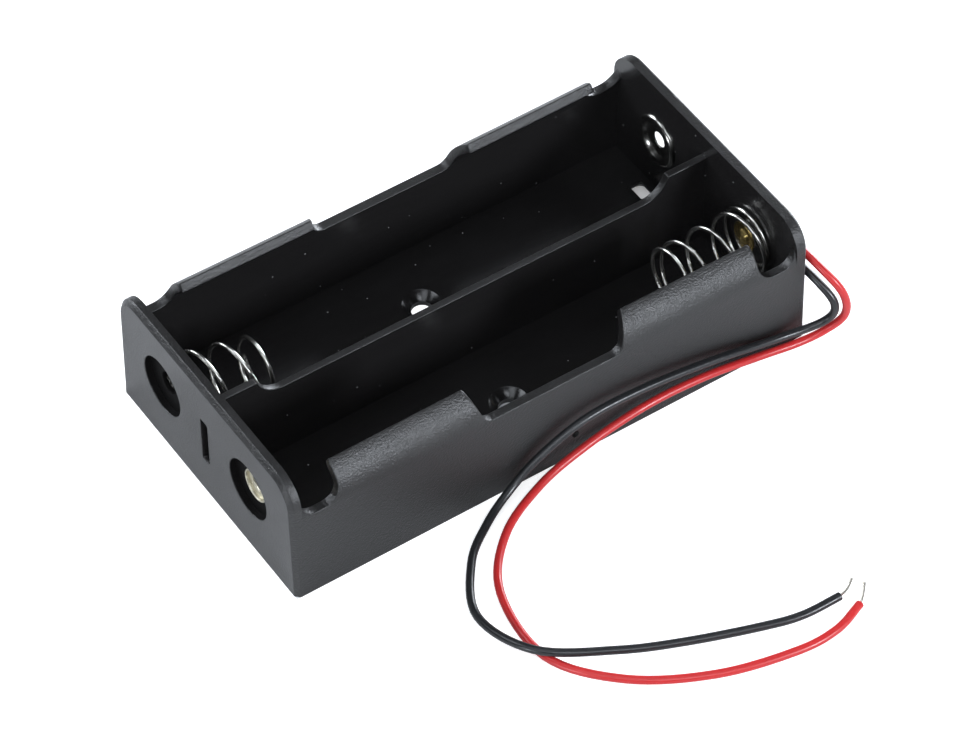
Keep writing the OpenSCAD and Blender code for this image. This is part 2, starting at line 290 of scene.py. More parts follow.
def bright_metal(name, tint, gloss, uneven, tarnish, grain):
    """Bare or plated metal: mirror-like, with a grain in relief, slow changes of gloss and dull spots."""
    made, tree, where = new_material(name)
    # Dull spots about 1.1 mm wide and a grain of about 0.2 mm
    spots = node(tree, "ShaderNodeTexNoise", {"Vector": where, "Scale": 900, "Detail": 4})
    fine = node(tree, "ShaderNodeTexNoise", {"Vector": where, "Scale": 5000, "Detail": 2})
    dulled = node(tree, "ShaderNodeMapRange", [spots, 0.5, 0.8, 0, 1])
    surface(
        tree,
        relief=(fine, grain, 0.03 * MM),
        colours=(dulled, toned(tint), toned(tint, tarnish)),
        roughness=node(tree, "ShaderNodeMapRange", [spots, 0.35, 0.7, gloss - uneven, gloss + uneven]),
        Metallic=1.0,
    )
    return made


def material(name):
    """One of the finishes, made once."""
    found = bpy.data.materials.get(name)
    if found:
        return found
    moulded = {"Moulded ABS": moulded_abs, "Polished ABS": polished_abs, "Matt ABS painted shade": shaded_matt_abs}
    if name in moulded:
        return moulded[name]()
    tints = sizes("holder_colours")
    sheaths = {"Red PVC": tints.red, "Black PVC": tints.black}
    if name in sheaths:
        return soft_pvc(name, sheaths[name])
    # Tint, roughness and how far it varies, brightness of the dull spots, and strength of the grain
    metals = {
        "Nickel-plated wire": (tints.nickel, 0.25, 0, 1, 0),
        "Nickel-plated steel": (tints.plate, 0.38, 0, 0.95, 0),
        # Nickel at half its brightness: painted shade on the far contact and on the link strip behind its slot
        "Nickel plate painted shade": ([c * 0.5 for c in tints.nickel], 0.22, 0, 0.9, 0),
        "Brass": (tints.brass, 0.25, 0.02, 0.9, 0),
        "Tinned copper": (tints.tinned, 0.3, 0.05, 0.7, 0.05),
        "Solder": (tints.solder, 0.3, 0.05, 0.75, 0.15),
    }
    return bright_metal(name, *metals[name])


def turned(profile, segments=72):
    """Solid of revolution about Z from pairs of radius and height in millimetres.

    A profile that ends where it starts is closed into a ring.
    """
    bm = bmesh.new()
    rings = []
    closed = profile[0] == profile[-1]
    for r, z in profile[:-1] if closed else profile:
        angles = [2 * math.pi * k / segments for k in range(segments if r else 1)]
        rings.append([bm.verts.new((r * MM * math.cos(a), r * MM * math.sin(a), z * MM)) for a in angles])
    if closed:
        rings.append(rings[0])
    for a, b in zip(rings, rings[1:]):
        for k in range(segments):
            n = k + 1
            quad = (a[k % len(a)], a[n % len(a)], b[n % len(b)], b[k % len(b)])
            bm.faces.new(list(dict.fromkeys(quad)))
    return bm


def finished(bm, name, place, finish):
    """Shown object made from bmesh data, put in its place with its normals outwards."""
    bm.transform(place)
    bmesh.ops.recalc_face_normals(bm, faces=bm.faces)
    mesh = bpy.data.meshes.new(name)
    bm.to_mesh(mesh)
    bm.free()
    return new_object(name, mesh, finish)


def new_object(name, mesh, finish):
    """Shown object with this mesh and finish, shaded smooth except at its sharp edges."""
    mesh.name = name
    mesh.materials.clear()
    mesh.materials.append(material(finish))
    shade(mesh, 40)
    return linked(name, mesh)


def shade(mesh, degrees):
    """Smooth shading, except at edges sharper than this angle."""
    mesh.shade_smooth()
    mesh.set_sharp_from_angle(angle=math.radians(degrees))


def linked(name, mesh=None):
    """Object with this mesh, or with an empty one, in the scene."""
    made = bpy.data.objects.new(name, bpy.data.meshes.new(name) if mesh is None else mesh)
    bpy.context.scene.collection.objects.link(made)
    return made


def evaluated_mesh(made):
    """Plain mesh of what an object's modifiers make, and the object removed."""
    graph = bpy.context.evaluated_depsgraph_get()
    mesh = bpy.data.meshes.new_from_object(
        made.evaluated_get(graph), preserve_all_data_layers=True, depsgraph=graph
    )
    made.modifiers.clear()
    bpy.data.objects.remove(made)
    return mesh


def paint(name, finish):
    """Gives a CAD node a finish."""
    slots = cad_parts[name].data.materials
    slots.clear()
    slots.append(material(finish))


def smooth_route(route, steps=8):
    """Smooth curve through the points of a route given in millimetres, in metres."""
    points = [Vector(p) * MM for p in route]
    points = [2 * points[0] - points[1], *points, 2 * points[-1] - points[-2]]
    made = []
    for a, b, c, d in zip(points, points[1:], points[2:], points[3:]):
        for i in range(steps):
            t = i / steps
            square, cube = 2 * a - 5 * b + 4 * c - d, 3 * b - a - 3 * c + d
            made.append(0.5 * (2 * b + (c - a) * t + square * t * t + cube * t**3))
    return [*made, points[-2]]


def sweep(name, path, radius, sides, rim):
    """Closed tube along a path, its ends rounded by rim, with a UV map in millimetres."""
    last = len(path) - 1
    along = [(path[min(i + 1, last)] - path[max(i - 1, 0)]).normalized() for i in range(last + 1)]
    rings = [(path[0], along[0], radius - rim), (path[0] + along[0] * rim, along[0], radius)]
    rings += [(path[i], along[i], radius) for i in range(1, last)]
    end, heading = path[last], along[last]
    rings += [(end - heading * rim, heading, radius), (end, heading, radius - rim)]
    across = along[0].orthogonal().normalized()
    mesh = bpy.data.meshes.new(name)
    bm = bmesh.new()
    uv = bm.loops.layers.uv.new("UVMap")
    previous, run, travelled, loops = None, 0.0, [], []
    for centre, direction, r in rings:
        across = (across - across.dot(direction) * direction).normalized()
        up = direction.cross(across)
        run += (centre - previous).length if previous else 0.0
        previous = centre
        travelled.append(run / MM)
        angles = [2 * math.pi * k / sides for k in range(sides)]
        loops.append(
            [bm.verts.new(centre + r * (math.cos(a) * across + math.sin(a) * up)) for a in angles]
        )
    round_mm = 2 * math.pi * radius / MM / sides
    for i in range(len(loops) - 1):
        for k in range(sides):
            n = (k + 1) % sides
            face = bm.faces.new((loops[i][k], loops[i][n], loops[i + 1][n], loops[i + 1][k]))
            for loop, (u, v) in zip(face.loops, ((k, i), (k + 1, i), (k + 1, i + 1), (k, i + 1))):
                loop[uv].uv = (u * round_mm, travelled[v])
    bm.faces.new(reversed(loops[0]))
    bm.faces.new(loops[-1])
    bm.to_mesh(mesh)
    bm.free()
    return mesh


def new_tree(name, inputs):
    """Geometry tree with named inputs; returns it, its input node and the identifiers of the inputs."""
    tree = bpy.data.node_groups.new(name, "GeometryNodeTree")
    tree.interface.new_socket("Geometry", in_out="OUTPUT", socket_type="NodeSocketGeometry")
    tree.interface.new_socket("Geometry", in_out="INPUT", socket_type="NodeSocketGeometry")
    kinds = {int: "NodeSocketInt", float: "NodeSocketFloat"}
    identifiers = {
        key: tree.interface.new_socket(key, in_out="INPUT", socket_type=kinds[type(value)]).identifier
        for key, value in inputs.items()
    }
    return tree, node(tree, "NodeGroupInput"), identifiers


def close_tree(tree, path, radius, sides, finish):
    """Ends a geometry tree: a wire of this radius and number of sides along the path, with its finish."""
    circle = node(tree, "GeometryNodeCurvePrimitiveCircle", {"Resolution": sides, "Radius": radius})
    inputs = {"Curve": path, "Profile Curve": circle, "Fill Caps": True}
    real = node(tree, "GeometryNodeRealizeInstances", [node(tree, "GeometryNodeCurveToMesh", inputs)])
    done = node(tree, "GeometryNodeSetMaterial", {"Geometry": real, "Material": material(finish)})
    node(tree, "NodeGroupOutput", [done])


def baked(base, tree, identifiers, values):
    """Plain mesh of what a geometry tree makes from a base object."""
    modifier = base.modifiers.new("Build", "NODES")
    modifier.node_group = tree
    for key, value in values.items():
        modifier[identifiers[key]] = value
    return evaluated_mesh(base)


def spring_tree(values):
    """Tree for a coil spring: an eye, a spiral, closed turns at both ends and open turns between."""
    tree, entry, identifiers = new_tree("Coil spring", values)
    get = entry.outputs
    steps = node(tree, "ShaderNodeMath", [get["Points"], 1.0], operation="SUBTRACT")
    share = node(tree, "ShaderNodeMath", [node(tree, "GeometryNodeInputIndex"), steps], operation="DIVIDE")
    turn = node(tree, "ShaderNodeMath", [share, get["Turns"]], operation="MULTIPLY")
    # Each measure is a sum of ramps: the turns between which one runs, and what it goes from and to
    ramps = {
        "radius": [
            ("Eye end", "Spiral end", "Eye radius", "Coil radius"),
            ("Spiral end", "Open end", 0, "Taper"),
        ],
        "height": [
            ("Spiral end", "Closed end", "Seat", "Closed height"),
            ("Closed end", "Open end", 0, "Open rise"),
            ("Open end", "Turns", 0, "Last rise"),
        ],
        "drop": [
            ("Eye end", "Spiral end", 0, "Drop at wall"),
            ("Spiral end", "Turns", 0, "Drop further out"),
        ],
        "shift": [
            ("Eye end", "Spiral end", 0, "Shift at wall"),
            ("Spiral end", "Turns", 0, "Shift further out"),
        ],
    }
    measure = {}
    for name, parts in ramps.items():
        measure[name] = 0.0
        for part in parts:
            limits = [get[key] if key else 0.0 for key in part]
            ramp = node(tree, "ShaderNodeMapRange", [turn, *limits])
            measure[name] = node(tree, "ShaderNodeMath", [measure[name], ramp], operation="ADD")
    begun = node(tree, "ShaderNodeMath", [turn, get["Phase"]], operation="ADD")
    angle = node(tree, "ShaderNodeMath", [begun, 2 * math.pi], operation="MULTIPLY")
    place = []
    for wave, drift, way in (("COSINE", "drop", "SUBTRACT"), ("SINE", "shift", "ADD")):
        swing = node(tree, "ShaderNodeMath", [angle], operation=wave)
        out = node(tree, "ShaderNodeMath", [measure["radius"], swing], operation="MULTIPLY")
        place.append(node(tree, "ShaderNodeMath", [out, measure[drift]], operation=way))
    line = node(tree, "GeometryNodeMeshLine", {"Count": get["Points"]})
    spot = node(tree, "ShaderNodeCombineXYZ", [*place, measure["height"]])
    placed = node(tree, "GeometryNodeSetPosition", {"Geometry": line, "Position": spot})
    inputs = {"Value": node(tree, "GeometryNodeInputPosition"), "Iterations": 6}
    eased = node(tree, "GeometryNodeBlurAttribute", inputs, data_type="FLOAT_VECTOR")
    placed = node(tree, "GeometryNodeSetPosition", {"Geometry": placed, "Position": eased})
    path = node(tree, "GeometryNodeMeshToCurve", {"Mesh": placed})
    close_tree(tree, path, get["Wire radius"], 14, "Nickel-plated wire")
    return tree, identifiers


def strand_tree(values):
    """Tree for twisted strands along a path: one in the middle, the others round it, splayed at the tip."""
    tree, entry, identifiers = new_tree("Strand bundle", values)
    get = entry.outputs
    path = node(tree, "GeometryNodeMeshToCurve", {"Mesh": get["Geometry"]})
    inputs = {"Geometry": path, "Amount": get["Strands"]}
    copies = node(tree, "GeometryNodeDuplicateElements", inputs, domain="SPLINE")
    index = copies.outputs["Duplicate Index"]
    share = node(tree, "GeometryNodeSplineParameter").outputs["Factor"]
    others = node(tree, "ShaderNodeMath", [get["Strands"], 1.0], operation="SUBTRACT")
    step = node(tree, "ShaderNodeMath", [2 * math.pi, others], operation="DIVIDE")
    twist = node(tree, "ShaderNodeMath", [share, get["Twist"]], operation="MULTIPLY")
    round_middle = node(tree, "ShaderNodeMath", [index, step], operation="MULTIPLY")
    angle = node(tree, "ShaderNodeMath", [round_middle, twist], operation="ADD")
    # The strands splay late, each by its own amount: 0.618 scatters their numbers evenly
    late = node(tree, "ShaderNodeMath", [share, 4.0], operation="POWER")
    flare = node(tree, "ShaderNodeMath", [get["Splay"], late], operation="MULTIPLY")
    scattered = node(tree, "ShaderNodeMath", [index, 0.618], operation="MULTIPLY")
    scattered = node(tree, "ShaderNodeMath", [scattered], operation="FRACT")
    uneven = node(tree, "ShaderNodeMath", [0.4, scattered], operation="ADD")
    flare = node(tree, "ShaderNodeMath", [flare, uneven], operation="MULTIPLY")
    out = node(tree, "ShaderNodeMath", [get["Lay radius"], flare], operation="ADD")
    # The first strand stays in the middle
    beside = node(tree, "ShaderNodeMath", [index, 1.0], operation="MINIMUM")
    out = node(tree, "ShaderNodeMath", [out, beside], operation="MULTIPLY")
    normal = node(tree, "GeometryNodeInputNormal").outputs[0]
    tangent = node(tree, "GeometryNodeInputTangent")
    side = node(tree, "ShaderNodeVectorMath", [tangent, normal], operation="CROSS_PRODUCT")
    ways = []
    for way, wave in ((normal, "COSINE"), (side, "SINE")):
        swing = node(tree, "ShaderNodeMath", [angle], operation=wave)
        reach = node(tree, "ShaderNodeMath", [out, swing], operation="MULTIPLY")
        ways.append(node(tree, "ShaderNodeVectorMath", {0: way, "Scale": reach}, operation="SCALE"))
    offset = node(tree, "ShaderNodeVectorMath", ways, operation="ADD")
    laid = node(tree, "GeometryNodeSetPosition", {"Geometry": copies, "Offset": offset})
    close_tree(tree, laid, get["Strand radius"], 8, "Tinned copper")
    return tree, identifiers


def spring_values(spring):
    """Inputs of the spring tree for one spring."""
    s = sizes("contact_sizes")
    ends = [s.eye_turns, s.eye_turns + s.spiral_turns, s.eye_turns + s.spiral_turns + s.closed_turns]
    ends.append(ends[-1] + spring["turns"])
    seat = s.wire / 2 + 0.03 * MM
    closed_rise, last_rise = s.wire + 0.05 * MM, 0.2 * MM
    (drop, shift), (last_drop, last_shift) = spring["hang"]
    return {
        # Points along the wire, then the turns at which its stretches end
        "Points": 290,
        "Turns": ends[3] + s.end_turns,
        "Eye end": ends[0],
        "Spiral end": ends[1],
        "Closed end": ends[2],
        "Open end": ends[3],
        "Phase": spring["phase"] / 360,
        "Drop at wall": drop * MM,
        "Drop further out": (last_drop - drop) * MM,
        "Shift at wall": shift * MM,
        "Shift further out": (last_shift - shift) * MM,
        "Eye radius": s.eye,
        "Coil radius": s.coil,
        "Taper": spring["end_r"] * MM - s.coil,
        "Wire radius": s.wire / 2,
        "Seat": seat,
        "Closed height": seat + closed_rise,
        "Open rise": spring["free"] * MM - s.wire / 2 - last_rise - seat - closed_rise,
        "Last rise": last_rise,
    }


def off_wall(side, stand_off=0.0, other_end=False):
    """Place of a contact on the lead end's wall, or the other end's by half a turn, its +Z inwards."""
    s = sizes("contact_sizes")
    inner = CASE_HIGH.x - sizes("shell_sizes").end_t - stand_off
    spot = Matrix.Translation((inner, side * s.pitch / 2, s.height))
    place = spot @ Matrix.Rotation(-math.pi / 2, 4, "Y")
    return Matrix.Rotation(math.pi, 4, "Z") @ place if other_end else place


def arc(centre, r, a0, a1, steps=10):
    """Points of an arc, from angle a0 to angle a1 in degrees."""
    angles = [math.radians(a0 + (a1 - a0) * i / steps) for i in range(steps + 1)]
    return [Vector((centre[0] + r * math.cos(a), centre[1] + r * math.sin(a))) for a in angles]


def rounded(corners, steps=8):
    """Closed outline through corners (x, y, radius), each rounded by its radius where that isn't 0."""
    made = []
    for i, (x, y, r) in enumerate(corners):
        here = Vector((x, y))
        back = (Vector(corners[i - 1][:2]) - here).normalized()
        ahead = (Vector(corners[(i + 1) % len(corners)][:2]) - here).normalized()
        if r == 0:
            made.append(here)
            continue
        half = math.acos(max(-1, min(1, back.dot(ahead)))) / 2
        centre = here + (back + ahead).normalized() * r / math.sin(half)
        first = here + back * r / math.tan(half) - centre
        start = math.degrees(math.atan2(first.y, first.x))
        way = -1 if back.x * ahead.y - back.y * ahead.x > 0 else 1
        made += arc(centre, r, start, start + way * (180 - math.degrees(2 * half)), steps)
    return made


def tidy_loop(points, gap=0.03 * MM):
    """Outline without points that nearly coincide, in counter-clockwise order."""
    kept = []
    for p in points:
        if not kept or (p - kept[-1]).length > gap:
            kept.append(p)
    while (kept[0] - kept[-1]).length < gap:
        kept.pop()
    area = sum(a.x * b.y - a.y * b.x for a, b in zip(kept, kept[1:] + kept[:1]))
    return kept if area > 0 else kept[::-1]


def inset(points, distance):
    """Counter-clockwise outline moved inwards by a distance, with its sharpest corners held back."""
    made = []
    for i, p in enumerate(points):
        a = (p - points[i - 1]).normalized()
        b = (points[(i + 1) % len(points)] - p).normalized()
        na, nb = Vector((-a.y, a.x)), Vector((-b.y, b.x))
        made.append(p + (na + nb) * distance / max(0.3, 1 + na.dot(nb)))
    return made


def rim_profile(thickness, low, high, steps=3):
    """Rounded edge of a plate as pairs of inset and height, from its low face to its high face."""
    turn = [math.pi / 2 * i / steps for i in range(steps + 1)]
    made = [(low * (1 - math.sin(a)), low * (1 - math.cos(a))) for a in turn]
    return made + [(high * (1 - math.cos(a)), thickness - high * (1 - math.sin(a))) for a in turn]


def bevel_profile(thickness, high, soft):
    """Edge of a plate that is sharp at its low face and bevelled by high, softly, at its high face."""
    made = [(0, 0)]
    ends = [(0, -soft), (0.07 * soft, -soft * 0.45), (0.3 * soft, 0), (soft * 0.6, soft * 0.6)]
    made += [(inward, thickness - high + rise) for inward, rise in ends]
    return made + [(high - rise, thickness - inward) for inward, rise in reversed(ends)]


class Plate:
    """Plate with rounded rims, drawn flat in X and Y, with its thickness along Z."""

    def __init__(self):
        self.bm = bmesh.new()
        self.low, self.high = [], []

    def rim(self, outline, profile, hole=False, finish=MOULDED):
        """Walls along a closed outline, through pairs of inset and height. A hole's insets widen it.

        The finish is that of every step between pairs, or a tuple with one for each step.
        """
        points = tidy_loop(outline)
        rings = []
        for distance, z in profile:
            ring = inset(points, -distance if hole else distance)
            rings.append([self.bm.verts.new((p.x, p.y, z)) for p in ring])
        n = len(points)
        finishes = finish if isinstance(finish, tuple) else (finish,) * (len(rings) - 1)
        for lower, upper, given in zip(rings, rings[1:], finishes):
            for i in range(n):
                j = (i + 1) % n
                corners = (lower[i], lower[j], upper[j], upper[i])
                self.bm.faces.new(corners[::-1] if hole else corners).material_index = given
        self.low += [self.bm.edges.get((rings[0][i], rings[0][i - 1])) for i in range(n)]
        self.high += [self.bm.edges.get((rings[-1][i], rings[-1][i - 1])) for i in range(n)]

    def turned_hole(self, x, y, profile, segments=64, finish=MOULDED):
        """Round hole whose walls go through pairs of radius and height."""
        least = min(r for r, z in profile)
        circle = arc((x, y), least, 0, 360, segments)[:-1]
        self.rim(circle, [(r - least, z) for r, z in profile], hole=True, finish=finish)

    def close(self, face_finish=(MOULDED, MOULDED)):
        """Fills both faces; the pair gives the finish of the low face and of the high face."""
        for edges, normal, finish in ((self.low, -1, face_finish[0]), (self.high, 1, face_finish[1])):
            made = bmesh.ops.triangle_fill(self.bm, edges=edges, use_beauty=True, normal=(0, 0, normal))
            faces = [g for g in made["geom"] if isinstance(g, bmesh.types.BMFace)]
            for face in faces:
                face.normal_update()
                if face.normal.z * normal < 0:
                    face.normal_flip()
                face.material_index = finish
        bmesh.ops.recalc_face_normals(self.bm, faces=self.bm.faces)

    def cut(self, axis, places):
        """Divides the plate's faces at these places along X or Y, so that it can bend there."""
        for place in places:
            point, normal = Vector((0, 0, 0)), Vector((0, 0, 0))
            point[axis], normal[axis] = place, 1
            every = [*self.bm.verts, *self.bm.edges, *self.bm.faces]
            bmesh.ops.bisect_plane(self.bm, geom=every, dist=1e-7, plane_co=point, plane_no=normal)

    def mapped(self, name, function):
        """Object with each point moved by a function of its X, Y and Z."""
        for vertex in self.bm.verts:
            vertex.co = function(*vertex.co)
        bmesh.ops.recalc_face_normals(self.bm, faces=self.bm.faces)
        mesh = bpy.data.meshes.new(name)
        self.bm.to_mesh(mesh)
        self.bm.free()
        return linked(name, mesh)


class CELLHOLDER_OT_stage(bpy.types.Operator):
    """Makes the camera, the lamps, the pale floor and the world."""

    bl_idname = "cell_holder.stage"
    bl_label = "Stage"

    # Camera: azimuth, elevation and roll in degrees, how far it stands off, aside and below in metres, and
    # its lens and sensor in millimetres
    view_angles = (-33.881, 48.975, -0.173)
    view_place = (0.580286, 0.002521, 0.000983)
    lens, sensor = 168.68, 36
    # Square softboxes that face the tray: azimuth and elevation in degrees, size in metres, watts
    lamp_distance = 0.9
    lamps = {
        "Right softbox": (18, 15, 0.45, 14),
        "Back softbox": (110, 25, 0.4, 5.7),
        "Upper left softbox": (150, 50, 0.35, 1.8),
        "Left softbox": (202, 12, 0.22, 2.6),
        "Camera softbox": (215, 55, 0.35, 1),
        "Upper front softbox": (256, 45, 0.32, 2),
        "Front softbox": (291, 22, 0.25, 6.4),
        "Top softbox": (0, 90, 0.45, 0.9),
    }
    # Floor: half its width in metres, its glow to the camera and in reflections, and its paper's grey
    half_floor, floor_seen, floor_mirrored, floor_grey = 1.5, 0.7, 0.05, 0.8
    # Brightness of the even light from all round
    world_level = 0.035

    def execute(self, context):
        scene = context.scene
        scene.view_settings.view_transform = "Standard"
        self.camera(scene)
        self.floor()
        # The strongest lamps stand low: past the lead end, behind the tray and in front of it
        for name, (azimuth, elevation, size, watts) in self.lamps.items():
            self.lamp(scene, name, math.radians(azimuth), math.radians(elevation), size, watts)
        self.world(scene)
        return {"FINISHED"}

    def camera(self, scene):
        """Long lens, seen from above the front corner by the near end."""
        azimuth, elevation, roll = (math.radians(angle) for angle in self.view_angles)
        flat = math.cos(elevation)
        back = Vector((math.sin(azimuth) * flat, -math.cos(azimuth) * flat, math.sin(elevation)))
        level = (-back).cross(Vector((0, 0, 1))).normalized()
        upright = level.cross(-back)
        right = math.cos(roll) * level + math.sin(roll) * upright
        up = -math.sin(roll) * level + math.cos(roll) * upright
        off, aside, below = self.view_place
        eye = back * off + right * aside - up * below
        data = bpy.data.cameras.new("Camera")
        data.lens, data.sensor_width = self.lens, self.sensor
        data.clip_start, data.clip_end = 0.01, 20
        made = bpy.data.objects.new("Camera", data)
        made.matrix_world = Matrix.Translation(eye) @ Matrix((right, up, back)).transposed().to_4x4()
        scene.collection.objects.link(made)
        scene.camera = made

    def floor(self):
        """Plain pale floor that shows white to the camera and in reflections, and keeps the shadow; under the
        tray its glow is painted light and shade.
        """
        made, tree, where = new_material("Pale floor")
        ray = node(tree, "ShaderNodeLightPath").outputs
        place = node(tree, "ShaderNodeSeparateXYZ", [where]).outputs
        away = [node(tree, "ShaderNodeMath", [place[i]], operation="ABSOLUTE") for i in (0, 1)]
        within = [
            node(tree, "ShaderNodeMath", [away[i], CASE_HIGH[i]], operation="LESS_THAN") for i in (0, 1)
        ]
        covered = node(tree, "ShaderNodeMath", within, operation="MULTIPLY")
        # Painted light and shadow under the tray: its glow to the camera is strongest at the back, brighter
        # than on the open floor, and fades towards the front and the ends
        behind = node(tree, "ShaderNodeMapRange", [place[1], -5 * MM, 5 * MM, 0.01, 1])
        inward = node(tree, "ShaderNodeMapRange", [away[0], 2 * MM, CASE_HIGH.x, 1, 0.22])
        under = node(tree, "ShaderNodeMath", [behind, inward], operation="MULTIPLY")
        level = node(tree, "ShaderNodeMix", {0: covered, 2: self.floor_seen, 3: under})
        seen = node(tree, "ShaderNodeMath", [ray["Is Camera Ray"], level], operation="MULTIPLY")
        mirrored = [ray["Is Glossy Ray"], self.floor_mirrored, seen]
        strength = node(tree, "ShaderNodeMath", mirrored, operation="MULTIPLY_ADD")
        paper = node(tree, "ShaderNodeBsdfDiffuse", {"Color": toned([self.floor_grey] * 3)})
        glow = node(tree, "ShaderNodeEmission", {"Strength": strength})
        node(tree, "ShaderNodeOutputMaterial", [node(tree, "ShaderNodeAddShader", [paper, glow])])
        mesh, half = bpy.data.meshes.new("Floor"), self.half_floor
        corners = [(-half, -half, 0), (half, -half, 0), (half, half, 0), (-half, half, 0)]
        mesh.from_pydata(corners, [], [(0, 1, 2, 3)])
        mesh.materials.append(made)
        floor = linked("Floor", mesh)

    def lamp(self, scene, name, azimuth, elevation, size, watts):
        """Square softbox that faces the tray."""
        data = bpy.data.lights.new(name, "AREA")
        data.shape, data.size, data.energy = "SQUARE", size, watts
        data.color = linear("f1f7ff")
        made = bpy.data.objects.new(name, data)
        flat = math.cos(elevation)
        place = Vector((math.cos(azimuth) * flat, math.sin(azimuth) * flat, math.sin(elevation)))
        made.location = place * self.lamp_distance
        made.rotation_euler = (-place).to_track_quat("-Z", "Y").to_euler()
        scene.collection.objects.link(made)

    def world(self, scene):
        """Dim even light, white where the camera looks straight at it."""
        made = bpy.data.worlds.new("Studio")
        made.use_nodes = True
        tree = made.node_tree
        tree.nodes.clear()
        seen = node(tree, "ShaderNodeLightPath").outputs["Is Camera Ray"]
        level = node(tree, "ShaderNodeMapRange", [seen, 0, 1, self.world_level, 1])
        back = node(tree, "ShaderNodeBackground", {"Color": (1, 1, 1, 1), "Strength": level})
        node(tree, "ShaderNodeOutputWorld", [back])
        scene.world = made


class CELLHOLDER_OT_leads(bpy.types.Operator):
    """Makes the red and the black lead, each from its solder joint to its stripped end."""

    bl_idname = "cell_holder.leads"
    bl_label = "Leads"

    # Centre lines of the leads in millimetres, each from its solder joint to where its sheath ends
    routes = {
        "red": [
            (39, 7.8, 10.6), (39.3, -3, 12), (39.4, -13, 12.9), (40.4, -20.4, 11.7), (42, -23.5, 8.5),
            (42.4, -23.7, 4.5), (40.4, -22.4, 1.5), (36.5, -21.7, 0.75), (31, -21.2, 1.3), (22, -21.2, 3),
            (13, -21.2, 3.3), (4, -21.3, 1.7), (-4, -22.7, 0.7), (-12, -26.8, 0.6), (-17.6, -34, 0.6),
            (-18.6, -45, 0.6), (-12.5, -53.3, 0.6), (-3, -58.8, 0.6), (7, -61.4, 0.6), (13, -61.5, 0.6),
            (17.7, -60, 0.8),
        ],
        "black": [
            (39, -12.3, 10.5), (39.3, -16, 10.3), (40.2, -20.6, 9.1), (41.2, -23, 6.4), (40.2, -22.4, 3.4),
            (34, -21.2, 2.9), (24, -21.2, 5.2), (13, -21.2, 6.9), (4, -21.2, 6.9), (-3, -21.3, 4.4),
            (-8, -21.9, 1.7), (-13, -24.2, 0.8), (-18, -28.2, 0.7), (-22, -35.5, 0.7), (-19.6, -44.2, 1.75),
            (-11, -49.3, 0.9), (-3, -52.8, 0.6), (6, -56.1, 0.6), (11, -57.4, 0.6), (16.4, -57.7, 0.8),
        ],
    }
    # Centre lines of the bare strands
    bare = {
        "red": [(17.7, -60, 0.8), (18.6, -59.3, 1.2), (19.6, -58.2, 1.8)],
        "black": [(16.4, -57.7, 0.8), (17.6, -57.4, 1), (18.9, -56.6, 1.4)],
    }

    def execute(self, context):
        s = sizes("lead_sizes")
        for name, route in self.routes.items():
            path = smooth_route(route)
            mesh = sweep(f"{name}_sheath", path, s.sheath / 2, sides=24, rim=0.08 * MM)
            lead = new_object(f"{name}_sheath", mesh, f"{name.capitalize()} PVC")
            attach(lead, "tray")
            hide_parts(f"{name}_lead")
            on_lead = [self.strands(name, s), self.solder(name)]
        return {"FINISHED"}

    def strands(self, name, s):
        """Bare tinned strands at the stripped end, twisted together and a little splayed at the tip."""
        path = smooth_route(self.bare[name], 12)
        # The strands reach 0.8 mm into the sheath
        path.insert(0, path[0] + (path[0] - path[1]).normalized() * 0.8 * MM)
        base = linked("Path")
        base.data.from_pydata(path, [(i, i + 1) for i in range(len(path) - 1)], [])
        values = {
            "Strands": s.strands,
            "Lay radius": s.bundle / 3,
            "Strand radius": s.bundle / 6,
            "Twist": 6.0,
            "Splay": 0.05 * MM,
        }
        tree, identifiers = strand_tree(values)
        mesh = baked(base, tree, identifiers, values)
        made = new_object(f"{name}_bare_strands", mesh, "Tinned copper")
        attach(made, "tray")
        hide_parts(f"{name}_strands")
        return made

    def solder(self, name):
        """Solder that has wet the contact's back and crept along the strands to the sheath."""
        x, y, z = self.routes[name][0]
        # The red joint sits beside the contact's hole, the black one on the middle of the rivet's tail
        middle, base, size = (8.6, 37.5, 0.6) if name == "red" else (-10, 38, 1)
        high = x - base
        dome = [(0, high + 0.4), (0.5 * size, high + 0.3), (0.85 * size, high), (1.1 * size, 0.7 * high)]
        blob = bpy.data.meshes.new("Blob")
        bm = turned([*dome, (1.3 * size, 0.35), (1.7 * size, 0), (0, 0)], 48)
        place = Matrix.Translation((base * MM, middle * MM, z * MM))
        bm.transform(place @ Matrix.Rotation(math.pi / 2, 4, "Y"))
        neck = [Vector((x, middle + (y - middle) * i / 8, z)) * MM for i in range(9)]
        bm.from_mesh(sweep("Neck", neck, 0.4 * MM, sides=16, rim=0.15 * MM))
        bmesh.ops.recalc_face_normals(bm, faces=bm.faces)
        bm.to_mesh(blob)
        bm.free()
        rough = linked("Blob", blob)
        skin = rough.modifiers.new("Skin", "REMESH")
        skin.mode, skin.voxel_size = "VOXEL", 0.09 * MM
        ease = rough.modifiers.new("Ease", "SMOOTH")
        ease.factor, ease.iterations = 0.5, 8
        mesh = evaluated_mesh(rough)
        made = new_object(f"{name}_solder_joint", mesh, "Solder")
        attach(made, "tray")
        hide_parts(f"{name}_solder")
        return made


